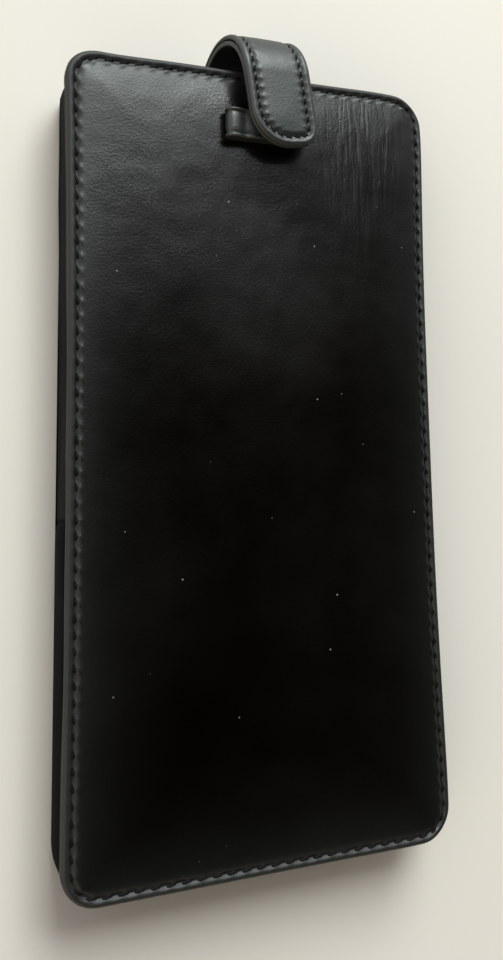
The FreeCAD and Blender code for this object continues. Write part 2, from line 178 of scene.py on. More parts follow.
# ---------------------------------------------------------------- stitches
def stitch_form(length, radius, rings=9, sides=8, twist=3.0):
    """One stitch of twisted thread, lying along x with its ends sinking."""
    t = np.linspace(-1, 1, rings)
    angle = np.linspace(0, 2 * math.pi, sides, endpoint=False)
    tt, aa = np.meshgrid(t, angle, indexing="ij")
    strands = 1 + 0.2 * np.cos(2 * aa - twist * 2 * tt)
    thick = radius * np.sqrt(np.clip(1 - tt ** 4, 0.02, 1)) * strands
    x = tt * length / 2
    y = thick * np.cos(aa)
    z = thick * np.sin(aa) - 0.9 * radius * tt ** 4
    points = np.stack([x, y, z], -1).reshape(-1, 3)
    faces = quads(rings, sides, closed=True)
    faces.append(tuple(range(sides - 1, -1, -1)))
    faces.append(tuple((rings - 1) * sides + i for i in range(sides)))
    return points, faces


def stitch_row(name, centres, alongs, ups, length, radius, slant):
    """A row of slanted stitches at given centres, with directions along and out of the leather."""
    form, form_faces = stitch_form(length, radius)
    points, faces = [], []
    for i, (centre, along, up) in enumerate(zip(centres, alongs, ups)):
        along = along / np.linalg.norm(along)
        up = up - along * np.dot(up, along)
        up = up / np.linalg.norm(up)
        side = np.cross(up, along)
        angle = math.radians(slant) + 0.06 * math.sin(7.3 * i)
        first = along * math.cos(angle) + side * math.sin(angle)
        second = side * math.cos(angle) - along * math.sin(angle)
        points.append(centre + form @ np.array([first, second, up]))
        faces += [tuple(k + i * len(form) for k in face) for face in form_faces]
    return make_mesh(name, np.concatenate(points), faces)


def pucker(d, phase, seam_in, depth=0.5, lobe_height=0.11, width=0.6, lean=0.15):
    """Height of leather at distance d from its edge: a sunk seam with a lobe beside each stitch."""
    leaned = phase - lean * (d - seam_in)
    lobe = 0.5 + 0.5 * np.cos(2 * math.pi * leaned)
    stitch = 1 - lobe ** 2
    height = -depth * (0.55 + 0.45 * stitch) * bell(d, seam_in, width)
    height += lobe_height * lobe * bell(d, seam_in + width + 0.35, 0.6)
    height -= lobe_height * stitch * bell(d, seam_in + width + 0.1, 0.65)
    height += 0.25 * lobe_height * lobe * bell(d, seam_in - 0.8, 0.45)
    return height


# ---------------------------------------------------------------- how the front panel lies
def lie_of_front(points):
    """The front's slow departures from flat: bowed mouth edge, drawn-in right side, uneven corners."""
    x, y, z = points.T
    near_top = np.exp(-(HALF_L - y) / 9.0)
    droop = -0.4 * np.exp(-(HALF_L - y) / 8.0)
    waves = 0.16 * np.sin(x / 17 + 0.6) * np.sin(y / 31 + 1.1) + 0.12 * np.sin(y / 14 + x / 40)
    bow = -1.5 * np.clip(x / HALF_W, 0, 1) ** 2 * (1 - (y / HALF_L) ** 2)
    belly = 0.2 * np.sin(y / 37 + 2.0) * np.clip(-x / HALF_W, 0, 1) ** 2
    drift = -0.8 * np.clip(-x / HALF_W, 0, 1) ** 2 * np.clip((y - 20) / 70, 0, 1) ** 2
    curl = -0.5 * np.clip((x - 46) / 7, 0, 1) ** 2
    dx = bow + belly + drift
    dy = (0.55 * bell(x, -19, 25) + 0.2 * bell(x, 36, 14)) * near_top
    for side_x, side_y, push in ((-1, 1, 1.3), (1, 1, -1.2), (1, -1, -0.7)):
        reach = np.hypot(x - side_x * HALF_W, y - side_y * HALF_L)
        share = 0.7 * push * bell(reach, 0, 9.0)
        dx, dy = dx + side_x * share, dy + side_y * share
    return np.stack([x + dx, y + dy, z + droop + waves + curl], -1)


# ---------------------------------------------------------------- front panel
FINE = 13                  # points for each stitch of the panel's seam
STEP_DOWN = 3              # fine points for each coarse point of the middle grid
EDGE_PROFILE = [(5.0, 0.02), (1.6, 0.0), (0.75, 0.04), (0.28, 0.13), (0.05, 0.28), (0.0, 0.45),
                (0.06, 0.62), (0.24, 0.79), (0.52, 0.94), (0.88, 1.06)]   # (inset, share of the height)
SEAM_RINGS = [1.2, 1.45, 1.65, 1.85, 2.05, 2.25, 2.45, 2.65, 2.85, 3.05, 3.25, 3.5, 3.75, 4.05,
              4.4, 4.8, 5.3, 6.0, 6.9, 8.0]
panel = Outline(HALF_W, HALF_L, PANEL_R, PANEL_SEAM_IN)
PANEL_STITCHES = round(panel.length / PANEL_PITCH)
panel_pitch = panel.length / PANEL_STITCHES


def panel_walk():
    """Distances along the seam for the fine rings, with whole numbers of steps on every side."""
    step = panel_pitch / FINE
    walk = []
    for (_, _, _, _, length), start in zip(panel.pieces, panel.starts):
        count = STEP_DOWN * max(1, round(length / step / STEP_DOWN))
        walk.append(start + np.arange(count) * length / count)
    return walk


def front_relief(x, y):
    """Fine form of the front's middle: shallow dents all over, wrinkles at the upper right."""
    flat = np.stack([x, y, np.zeros_like(x)], -1)
    dents = 0.09 * soft_noise(flat, 15.0) + 0.035 * soft_noise(flat, 5.0, 3.0)
    region = bell(x, 37, 13) * bell(y, 72, 27)
    streaks = soft_noise(flat * np.array([1, 0.12, 1]), 1.7, 5.0)
    streaks += 0.6 * soft_noise(flat * np.array([1, 0.2, 1]), 3.4, 9.0)
    return dents + 0.09 * region * streaks


def pillow(d):
    """How far the leather's padded middle falls away towards the seam."""
    return -0.6 * np.exp(-(np.maximum(d, PANEL_SEAM_IN) - PANEL_SEAM_IN) / 9.0)


def front_rings(s):
    """The rings of the front's turned edge and seam, from the underside up and in to the middle."""
    phase, depth = s / panel_pitch, TOP_Z - PLY_Z
    vary = 1 + 0.3 * np.sin(phase * 1.7) * np.sin(phase * 0.31 + 1)
    rings = []
    for d, share in EDGE_PROFILE:
        xy = panel.points(s, np.full_like(s, d))
        z = np.full_like(s, PLY_Z + share * depth + pillow(PANEL_SEAM_IN))
        rings.append(np.column_stack([xy, z]))
    for d in SEAM_RINGS:
        crown = 0.10 * math.sin(math.pi * min(d / PANEL_SEAM_IN, 1.0))
        z = TOP_Z + crown + vary * pucker(d, phase, PANEL_SEAM_IN)
        ring = np.column_stack([panel.points(s, np.full_like(s, d)), z])
        ring[:, 2] += pillow(d)
        fade = min(max((d - 3.5) / 3.0, 0.0), 1.0)
        if fade > 0:
            ring[:, 2] += fade * front_relief(ring[:, 0], ring[:, 1])
        rings.append(ring)
    return rings


def front_grid(nx, ny):
    """The front's middle: a coarser grid whose edge matches every third point of the last ring."""
    x0, y0 = HALF_W - PANEL_R, HALF_L - PANEL_R
    grid_x, grid_y = np.meshgrid(np.linspace(-x0, x0, nx + 1), np.linspace(-y0, y0, ny + 1))
    x, y = grid_x.ravel(), grid_y.ravel()
    d = np.minimum(HALF_W - abs(x), HALF_L - abs(y))
    return np.column_stack([x, y, TOP_Z + front_relief(x, y) + pillow(d)])


def front_top_ply():
    walk = panel_walk()
    s = np.concatenate(walk)
    count = len(s)
    rings = front_rings(s)
    counts = [len(w) // STEP_DOWN for w in walk]
    nx, ny = counts[2], counts[4]
    last, first = (len(rings) - 1) * count, len(rings) * count
    faces = quads(len(rings), count, closed=True) + quads(ny + 1, nx + 1, first=first)
    rim = rim_of_grid(nx, ny, counts, first)
    coarse = count // STEP_DOWN
    for j in range(coarse):
        here, there = rim[j], rim[(j + 1) % coarse]
        fine = [last + (j * STEP_DOWN + k) % count for k in range(STEP_DOWN + 1)]
        faces.append(tuple(fine + ([there, here] if here != there else [here])))
    faces.append(tuple(range(count - 1, -1, -1)))
    points = lie_of_front(np.concatenate(rings + [front_grid(nx, ny)]))
    return make_mesh("front_leather", points, faces, flat_faces=[len(faces) - 1])


def rim_of_grid(nx, ny, counts, first):
    """The grid's edge points in the order of the outline's walk, repeated round each corner."""
    def index(i, j):
        return first + j * (nx + 1) + i
    half = counts[0]
    rim = [index(0, ny // 2 - k) for k in range(half)]
    rim += [index(0, 0)] * counts[1]
    rim += [index(k, 0) for k in range(nx)]
    rim += [index(nx, 0)] * counts[3]
    rim += [index(nx, k) for k in range(ny)]
    rim += [index(nx, ny)] * counts[5]
    rim += [index(nx - k, ny) for k in range(nx)]
    rim += [index(0, ny)] * counts[7]
    rim += [index(0, ny - k) for k in range(counts[8])]
    return rim


def front_stitches():
    s = np.arange(PANEL_STITCHES) * panel_pitch
    xy = panel.points(s, np.full_like(s, PANEL_SEAM_IN))
    _, normal = panel.at(s)
    along = np.column_stack([-normal[:, 1], normal[:, 0], np.zeros(len(s))])
    up = np.tile([0.0, 0, 1], (len(s), 1))
    centres = lie_of_front(np.column_stack([xy, np.full(len(s), TOP_Z - FRONT_THREAD_DEPTH)]))
    return stitch_row("front_stitches", centres, along, up, 0.8 * panel_pitch, 0.4, 14)


def lining_ply():
    """The second turned edge, and the inner face of the front panel."""
    s = np.arange(0, panel.length, 1.1)
    depth = PLY_Z - LINING_Z
    profile = [(7.0, 1.0), (1.6, 1.0), (0.8, 0.95), (0.35, 0.82), (0.1, 0.66), (0.0, 0.5),
               (0.1, 0.32), (0.35, 0.16), (0.8, 0.04), (1.7, 0.0), (2.5, 0.03), (3.0, 0.1),
               (3.5, 0.03), (4.5, 0.0), (7.0, 0.0)]
    rings = []
    for d, share in profile:
        wobble = 0.12 * np.sin(s / 23.0) + 0.07 * np.sin(s / 7.0)
        xy = panel.points(s, d + wobble + 0.1)
        rings.append(np.column_stack([xy, np.full(len(s), LINING_Z + share * depth)]))
    points = lie_of_front(np.concatenate(rings))
    count, last = len(s), (len(profile) - 1) * len(s)
    faces = [tuple(reversed(q)) for q in quads(len(profile), count, closed=True)]
    faces.append(tuple(range(count)))
    faces.append(tuple(last + i for i in range(count - 1, -1, -1)))
    return make_mesh("front_lining_ply", points, faces, flat_faces=[len(faces) - 1, len(faces) - 2])


# ---------------------------------------------------------------- side walls
body = Outline(BODY_HALF_W, BODY_HALF_L, BODY_R, 0.0)
WALL_SLOPE = 0.15          # the slant of the walls' cut ends, along for each millimetre up
JOIN_Y = 17.1              # the joint's middle, below the case's middle
MOUTH_CUT = 5.3            # the walls' upper ends, short of the back's top edge
WALL_TOP, WALL_FOOT = WALL_HIGH[2], WALL_LOW[2]
WALL_MIDDLE = (WALL_TOP + WALL_FOOT) / 2
WALL_T, FLANGE = 1.2, 7.0


def wall_profile(seam_z=None):
    """Closed outline of the wall's channel as (inset, z): down the outside, back up the inside."""
    share = np.linspace(0, 1, 25)
    z = WALL_TOP - 0.02 - share * (WALL_TOP - WALL_FOOT - 0.04)
    belly = 0.35 - 0.65 * np.sin(math.pi * share) ** 0.7
    inset = belly + 0.35 * (bell(share, 0, 0.04) + bell(share, 1, 0.04))
    if seam_z is not None:
        inset = inset + 0.35 * bell(z, seam_z, 0.45) - 0.12 * bell(z, seam_z - 1.1, 0.6)
        inset = inset - 0.12 * bell(z, seam_z + 1.1, 0.6)
    outside = list(zip(inset, z))
    inner = WALL_T + 0.35
    inside = [(FLANGE, WALL_FOOT + 0.02), (FLANGE, WALL_FOOT + WALL_T), (inner + 0.6, WALL_FOOT + WALL_T),
              (inner, WALL_FOOT + WALL_T + 0.6), (inner - 0.4, WALL_MIDDLE),
              (inner, WALL_TOP - WALL_T - 0.6), (inner + 0.6, WALL_TOP - WALL_T),
              (FLANGE, WALL_TOP - WALL_T), (FLANGE, WALL_TOP - 0.02)]
    return outside + inside


def wall(name, start, end, start_slope, end_slope, seam_z=None, proud=0.0, bulge=0.0):
    """A length of wall between two distances along the body's outline."""
    profile = np.array(wall_profile(seam_z))
    rows = max(2, int(abs(end - start) / 1.2))
    rings = []
    for i in range(rows + 1):
        t = i / rows
        slope = start_slope * (1 - t) + end_slope * t
        along = start + (end - start) * t
        s = along + slope * (profile[:, 1] - WALL_MIDDLE)
        wave = 0.10 * math.sin(along / 11.0) + 0.07 * math.sin(along / 4.1 + 1)
        thin = 0.25 * (bell(t * rows, 0, 1.2) + bell(t * rows, rows, 1.2))
        middle = np.sin(math.pi * (profile[:, 1] - WALL_FOOT) / (WALL_TOP - WALL_FOOT)).clip(0, 1)
        y = body.points(np.array([along]), 0.0)[0, 1]
        swell = bulge * min(max((y - 10) / 60, 0.0), 1.0) ** 2
        inset = profile[:, 0] - middle * wave - proud - swell + thin * (profile[:, 0] < 0.9)
        rings.append(np.column_stack([body.points(s, inset), profile[:, 1]]))
    count = len(profile)
    faces = quads(rows + 1, count, closed=True)
    faces.append(tuple(range(count - 1, -1, -1)))
    faces.append(tuple(rows * count + i for i in range(count)))
    flat = [len(faces) - 1, len(faces) - 2]
    return make_mesh(name, np.concatenate(rings), faces, flat_faces=flat)


def walk_at_y(y, right):
    """Distance along the body's outline at a height y on its left or right side."""
    y0 = BODY_HALF_L - BODY_R
    if not right:
        return -y if y <= 0 else body.length - y
    return body.starts[4] + y + y0


def mouth_walk():
    """How far round the upper corner the walls go, as a distance past the corner's start."""
    rise = (BODY_R - MOUTH_CUT) / BODY_R
    return BODY_R * math.asin(rise)


SIDE_SEAM_Z = (SIDE_SEAM_LOW[2] + SIDE_SEAM_HIGH[2]) / 2


def side_walls():
    left_join, right_join = walk_at_y(-JOIN_Y, False), walk_at_y(-JOIN_Y, True)
    right_end = body.starts[5] + mouth_walk()
    left_end = body.starts[8] - mouth_walk()
    lower = wall("wall_lower", left_join, right_join, -WALL_SLOPE, WALL_SLOPE, proud=0.35)
    right = wall("wall_upper_right", right_join + 0.1, right_end, WALL_SLOPE, WALL_SLOPE, SIDE_SEAM_Z)
    left = wall("wall_upper_left", left_end, left_join + body.length - 0.1, -WALL_SLOPE, -WALL_SLOPE,
                SIDE_SEAM_Z, bulge=0.8)
    return lower, left, right


def side_stitches():
    """Both upper walls' seams."""
    ranges = [(walk_at_y(SIDE_SEAM_LOW[1], True), walk_at_y(0, True) + SIDE_SEAM_HIGH[1] - 4),
              (body.starts[8] - 4, body.length - SIDE_SEAM_LOW[1])]
    centres, alongs, ups = [], [], []
    for start, end in ranges:
        s = np.arange(start, end, PANEL_PITCH)
        core, normal = body.at(s)
        xy = core + normal * (BODY_R + 0.05)
        centres.append(np.column_stack([xy, np.full(len(s), SIDE_SEAM_Z)]))
        alongs.append(np.column_stack([-normal[:, 1], normal[:, 0], np.zeros(len(s))]))
        ups.append(np.column_stack([normal, np.zeros(len(s))]))
    return stitch_row("wall_stitches", np.concatenate(centres), np.concatenate(alongs),
                      np.concatenate(ups), 2.9, THREAD_R, 10)


# ---------------------------------------------------------------- back
def back_stitches():
    seam = Outline(BODY_HALF_W, BODY_HALF_L, BODY_R, BACK_SEAM_IN)
    count = round(seam.length / PANEL_PITCH)
    s = np.arange(count) * seam.length / count
    xy = seam.points(s, np.full_like(s, BACK_SEAM_IN))
    _, normal = seam.at(s)
    along = np.column_stack([-normal[:, 1], normal[:, 0], np.zeros(count)])
    down = np.tile([0.0, 0, -1], (count, 1))
    centres = np.column_stack([xy, np.full(count, BACK_THREAD_Z)])
    return stitch_row("back_stitches", centres, along, down, 3.0, THREAD_R, 12)


def root_stitches():
    """The box of stitching that holds the strap's root to the back."""
    half_seam = 0.35
    x0, y0 = ROOT_SEAM_LOW[:2] + half_seam
    x1, y1 = ROOT_SEAM_HIGH[:2] - half_seam
    corners = [np.array(c) for c in ((x0, y0), (x1, y0), (x1, y1), (x0, y1))]
    centres, alongs = [], []
    for i, corner in enumerate(corners):
        side = corners[(i + 1) % 4] - corner
        count = round(np.linalg.norm(side) / STRAP_PITCH)
        for k in range(count):
            centres.append([*(corner + side * (k + 0.5) / count), BACK_THREAD_Z])
            alongs.append([*(side / np.linalg.norm(side)), 0])
    downs = np.tile([0.0, 0, -1], (len(centres), 1))
    return stitch_row("root_stitches", np.array(centres), np.array(alongs), downs, 2.0, THREAD_R, 0)


# ---------------------------------------------------------------- strap
SPLIT_ANGLE = 50.0         # where the arch's lower and upper lengths meet, inside the arch
ROOT_ANGLE = math.degrees(math.asin((ROOT_Y - ARCH_Y) / ARCH_R))
ROOT_T = ARCH_R * math.radians(180 - ROOT_ANGLE)
SPLIT_S = (ARCH_R * math.radians(180 - SPLIT_ANGLE)) / math.cos(SLANT) + LEG_LENGTH
END_S = (ROOT_T + 7.0) / math.cos(SLANT) + LEG_LENGTH
SKIVE = 0.42               # the sewn-in end's share of the strap's thickness


def on_strap(w, s, h):
    """Points w across, s along from the tip and h out of the strap's middle surface."""
    w, s, h = np.broadcast_arrays(w, s, h)
    x = STRAP_X + w * math.cos(SLANT) - (s - LEG_LENGTH) * math.sin(SLANT)
    t = w * math.sin(SLANT) + (s - LEG_LENGTH) * math.cos(SLANT)
    past = np.clip(t - ROOT_T, 0, None)
    sink = np.clip(past / 4.0, 0, 1)
    sink = sink * sink * (3 - 2 * sink)
    h = h * (1 - (1 - SKIVE) * sink)
    turn = np.clip(t, 0, ROOT_T) / ARCH_R
    y = ARCH_Y + (ARCH_R + h) * np.sin(turn) + np.clip(t, None, 0) - past
    z = CROWN_Z + (ARCH_R + h) * np.cos(turn) - 0.72 * sink
    z = z - 0.35 * np.clip((12.0 - s) / 12.0, 0, 1) ** 2
    return np.stack([x + past * math.tan(SLANT), y, z], -1)


def strap_edge_distance(w, s):
    """Distance in from the strap's outline, with its two tip corners of different radius."""
    half = STRAP_W / 2
    d = np.minimum(np.minimum(w + half, half - w), s)
    left, right = TIP_R_LEFT - half, half - TIP_R_RIGHT
    in_left = (w < left) & (s < TIP_R_LEFT)
    in_right = (w > right) & (s < TIP_R_RIGHT)
    d = np.where(in_left, TIP_R_LEFT - np.hypot(w - left, s - TIP_R_LEFT), d)
    return np.where(in_right, TIP_R_RIGHT - np.hypot(w - right, s - TIP_R_RIGHT), d)


def strap_seam_walk(w, s):
    """Distance along the strap's seam of the seam point nearest to (w, s), from the tip's middle."""
    half = STRAP_W / 2
    left, right = TIP_R_LEFT - half, half - TIP_R_RIGHT
    middle, flat = (left + right) / 2, (right - left) / 2
    arc_l, arc_r = TIP_R_LEFT - STRAP_SEAM_IN, TIP_R_RIGHT - STRAP_SEAM_IN
    turn_l = np.arctan2(left - w, TIP_R_LEFT - s)
    turn_r = np.arctan2(w - right, TIP_R_RIGHT - s)
    walk_l = -(flat + arc_l * math.pi / 2 + (s - TIP_R_LEFT))
    walk_r = flat + arc_r * math.pi / 2 + (s - TIP_R_RIGHT)
    q = np.where(w < middle, walk_l, walk_r)
    q = np.where((w < left) & (s < TIP_R_LEFT), -(flat + arc_l * turn_l), q)
    q = np.where((w > right) & (s < TIP_R_RIGHT), flat + arc_r * turn_r, q)
    at_tip = (w >= left) & (w <= right) & (s < np.minimum(w + half, half - w))
    return np.where(at_tip, w - middle, q)


def strap_seam_point(q):
    """(w, s) and the seam's direction at a distance q along it from the tip's middle."""
    half = STRAP_W / 2
    left, right = TIP_R_LEFT - half, half - TIP_R_RIGHT
    middle, flat = (left + right) / 2, (right - left) / 2
    side = -1 if q < 0 else 1
    corner, radius = (left, TIP_R_LEFT) if q < 0 else (right, TIP_R_RIGHT)
    arc = radius - STRAP_SEAM_IN
    beyond = abs(q) - flat
    if beyond < 0:
        return (middle + q, STRAP_SEAM_IN), (1.0, 0.0)
    turn = min(beyond / arc, math.pi / 2)
    straight = max(beyond - arc * math.pi / 2, 0)
    w = corner + side * arc * math.sin(turn)
    s = radius - arc * math.cos(turn) + straight
    return (w, s), (math.cos(turn), side * math.sin(turn))


EDGE_STEPS = [0, 0.03, 0.1, 0.22, 0.4, 0.62, 0.9, 1.25, 1.6, 1.95, 2.25, 2.5, 2.75, 3.0, 3.3,
              3.7, 4.2, 4.9, 5.8, 7.0, 8.2]


def strap_rows(s0, s1):
    step = STRAP_PITCH / 9
    if s0 > 0:
        return np.linspace(s0, s1, max(2, round((s1 - s0) / step)))
    near = np.array([e for e in EDGE_STEPS if e < 3.2])
    return np.concatenate([near, np.linspace(3.2, s1, round((s1 - 3.2) / step))])


def strap_ply(name, s0, s1, low, high, seamed, roll=0.6):
    """One ply between two heights, as a closed shell with rolled edges."""
    half = STRAP_W / 2
    across = np.array(EDGE_STEPS + [half] + [STRAP_W - e for e in reversed(EDGE_STEPS)])
    rows = strap_rows(s0, s1)
    s = np.repeat(rows[:, None], len(across), 1)
    in_left = np.clip(TIP_R_LEFT - s, 0, None)
    in_right = np.clip(TIP_R_RIGHT - s, 0, None)
    w0 = -half + TIP_R_LEFT - np.sqrt(TIP_R_LEFT ** 2 - in_left ** 2)
    w1 = half - TIP_R_RIGHT + np.sqrt(TIP_R_RIGHT ** 2 - in_right ** 2)
    w = w0 + (w1 - w0) * across / STRAP_W
    d = np.clip(strap_edge_distance(w, s), 0, None)
    swell = np.sqrt(np.clip(1 - (1 - np.clip(d / roll, 0, 1)) ** 2, 0, 1))
    middle, half_t = (low + high) / 2, (high - low) / 2
    top = middle + half_t * swell
    bottom = middle - half_t * swell
    if seamed:
        phase = strap_seam_walk(w, s) / STRAP_PITCH
        top = top + pucker(d, phase, STRAP_SEAM_IN, 0.68, 0.10, 0.72, 0.1) * swell
        top = top + 0.10 * bell(d, 1.2, 0.7) + 0.12 * np.clip((d - 3.0) / 4, 0, 1)
    flat_points = np.stack([w.ravel(), s.ravel(), np.zeros(w.size)], -1)
    ripple = 0.05 * soft_noise(flat_points, 6.0, 2.0).reshape(w.shape)
    upper = on_strap(w, s, top + ripple * (d > 3.3)).reshape(-1, 3)
    lower = on_strap(w, s, bottom).reshape(-1, 3)
    count = len(upper)
    columns = len(across)
    faces = quads(len(rows), columns)
    faces += [tuple(count + k for k in reversed(q)) for q in quads(len(rows), columns)]
    weld = weld_map(len(rows), columns, count, s0 == 0)
    ends = [len(rows) - 1] if s0 == 0 else [0, len(rows) - 1]
    flat = []
    for row in ends:
        loop = [row * columns + c for c in range(columns)]
        loop += [count + row * columns + c for c in range(columns - 2, 0, -1)]
        flat.append(len(faces))
        faces.append(tuple(loop if row else reversed(loop)))
    points = np.concatenate([upper, lower])
    faces = [tuple(weld.get(k, k) for k in f) for f in faces]
    return make_mesh(name, points, faces, flat_faces=flat)


def weld_map(rows, columns, count, round_tip):
    """Which lower points are the same as upper ones, along the shell's rim."""
    weld = {}
    for r in range(rows):
        for c in (0, columns - 1):
            weld[count + r * columns + c] = r * columns + c
    if round_tip:
        for c in range(columns):
            weld[count + c] = c
    return weld


def strap_stitches(name, s0, s1):
    """Stitches of the strap's outer face whose place along it is between s0 and s1."""
    centres, alongs, ups = [], [], []
    reach = int(90 / STRAP_PITCH)
    for i in range(-reach, reach + 1):
        (w, s), (dw, ds) = strap_seam_point(i * STRAP_PITCH)
        if not s0 <= s < s1:
            continue
        h = STRAP_HALF_T - STRAP_THREAD_DEPTH
        here = on_strap(w, s, h)
        ahead = on_strap(w + 0.01 * dw, s + 0.01 * ds, h)
        centres.append(here)
        alongs.append(ahead - here)
        ups.append(on_strap(w, s, h + 0.5) - here)
    return stitch_row(name, np.array(centres), np.array(alongs), np.array(ups), 1.9, 0.3, -12)


# ---------------------------------------------------------------- bridge
def roll_outline(radius, middle_z, reach, count=96):
    """Outline in x and z of a flat band with round ends, each end a roll with a dip beside it."""
    angle = np.linspace(0, 2 * math.pi, count, endpoint=False) + 1e-6
    share = np.sign(np.cos(angle)) * np.abs(np.cos(angle)) ** 0.6
    x = (radius + reach) * share
    beyond = np.clip(np.abs(x) - reach, 0, radius) / radius
    z = radius * np.sqrt(1 - beyond ** 2) * np.sign(np.sin(angle))
    dip = np.where(z > 0, 0.8 * bell(np.abs(x), reach - 3.4, 1.6), 0)
    return x, middle_z + z - dip


def bridge_band():
    """The bridge: leather rolled round a core, with a bead at each edge."""
    half = (BRIDGE_HIGH[1] - BRIDGE_LOW[1]) / 2
    middle_y = (BRIDGE_HIGH[1] + BRIDGE_LOW[1]) / 2
    radius = (BRIDGE_HIGH[2] - BRIDGE_LOW[2]) / 2
    middle_z = (BRIDGE_HIGH[2] + BRIDGE_LOW[2]) / 2
    reach = (BRIDGE_HIGH[0] - BRIDGE_LOW[0]) / 2 - radius
    steps = [(-0.06, -0.9), (-0.05, -0.5), (0.05, -0.25), (0.25, -0.06), (0.5, 0.0), (0.75, -0.08),
             (0.95, -0.3), (1.1, -0.5), (1.3, -0.5), (1.6, -0.36), (2.1, -0.24), (3.0, -0.2)]
    profile = [(-half + a, b) for a, b in steps] + [(0.0, -0.2)]
    profile += [(half - a, b) for a, b in reversed(steps)]
    rings = []
    for y, change in profile:
        x, z = roll_outline(radius + change, middle_z, reach)
        rings.append(np.column_stack([x, np.full(len(x), middle_y + y), z]))
    count = len(x)
    faces = quads(len(profile), count, closed=True)
    faces.append(tuple(range(count - 1, -1, -1)))
    faces.append(tuple((len(profile) - 1) * count + i for i in range(count)))
    points = np.concatenate(rings)
    points[:, 2] += 0.02
    return make_mesh("bridge_roll", points, faces, flat_faces=[len(faces) - 1, len(faces) - 2])


# ---------------------------------------------------------------- materials
def new_material(name):
    material = bpy.data.materials.new(name)
    material.use_nodes = True
    nodes = material.node_tree.nodes
    return material, nodes, material.node_tree.links, nodes["Principled BSDF"]


def texture(nodes, links, kind, scale, coordinate, **settings):
    node = nodes.new(kind)
    node.inputs["Scale"].default_value = scale
    for key, value in settings.items():
        if key in node.inputs:
            node.inputs[key].default_value = value
        else:
            setattr(node, key, value)
    links.new(coordinate, node.inputs["Vector"])
    return node


def ramp(nodes, links, factor, stops):
    """Colour ramp through (position, colour) stops."""
    node = nodes.new("ShaderNodeValToRGB")
    while len(node.color_ramp.elements) < len(stops):
        node.color_ramp.elements.new(0.5)
    for element, (position, colour) in zip(node.color_ramp.elements, stops):
        element.position = position
        element.color = (*colour, 1)
    links.new(factor, node.inputs["Fac"])
    return node.outputs["Color"]


def grey(value):
    return (value, value, value)


def bump_layers(nodes, links, shader, layers):
    """Bumps from (height socket, strength, distance), one on another, into the shader's normal."""
    bump = None
    for source, strength, distance in layers:
        step = nodes.new("ShaderNodeBump")
        step.inputs["Strength"].default_value = strength
        step.inputs["Distance"].default_value = distance
        links.new(source, step.inputs["Height"])
        if bump is not None:
            links.new(bump, step.inputs["Normal"])
        bump = step.outputs["Normal"]
    links.new(bump, shader.inputs["Normal"])


def blend_colours(nodes, links, share, first, second):
    """The first colour where share is 0, turning into the second where it is 1."""
    mix = nodes.new("ShaderNodeMix")
    mix.data_type = "RGBA"
    links.new(share, mix.inputs["Factor"])
    links.new(first, mix.inputs["A"])
    mix.inputs["B"].default_value = (*second, 1)
    return mix.outputs["Result"]


def arithmetic(nodes, links, operation, *values):
    """A maths node whose inputs are sockets or numbers."""
    node = nodes.new("ShaderNodeMath")
    node.operation = operation
    for socket, value in zip(node.inputs, values):
        if isinstance(value, (int, float)):
            socket.default_value = value
        else:
            links.new(value, socket)
    return node.outputs["Value"]


def share_inward(nodes, links, place):
    """Distance in from the front's edge, from 0 there to 1 at 30 mm."""
    parts = nodes.new("ShaderNodeSeparateXYZ")
    links.new(place, parts.inputs["Vector"])
    inward = []
    for axis, half in (("X", HALF_W), ("Y", HALF_L)):
        off_middle = arithmetic(nodes, links, "ABSOLUTE", parts.outputs[axis])
        inward.append(arithmetic(nodes, links, "SUBTRACT", half * MM, off_middle))
    nearest = arithmetic(nodes, links, "MINIMUM", *inward)
    return arithmetic(nodes, links, "DIVIDE", nearest, 0.030)


def dust(nodes, links, place, colour):
    """The colour with a few pale specks on it."""
    specks = texture(nodes, links, "ShaderNodeTexVoronoi", 120, place)
    size = ramp(nodes, links, specks.outputs["Distance"], [(0.018, grey(1)), (0.036, grey(0))])
    return blend_colours(nodes, links, size, colour, (0.30, 0.30, 0.28))


def worn_rim(nodes, links, place, colour, gloss):
    """The colour and roughness, paler and matter towards the front's edge."""
    inward = share_inward(nodes, links, place)
    pale = ramp(nodes, links, inward, [(0.0, grey(1.0)), (0.09, grey(0.85)), (0.17, grey(0.42)),
                                       (0.5, grey(0.12)), (1.0, grey(0.0))])
    matt = ramp(nodes, links, inward, [(0.0, grey(1.0)), (0.09, grey(0.85)), (0.14, grey(0.3)),
                                       (0.3, grey(0.1)), (0.6, grey(0.0))])
    return (blend_colours(nodes, links, pale, colour, (0.022, 0.0245, 0.0215)),
            blend_colours(nodes, links, matt, gloss, grey(0.56)))


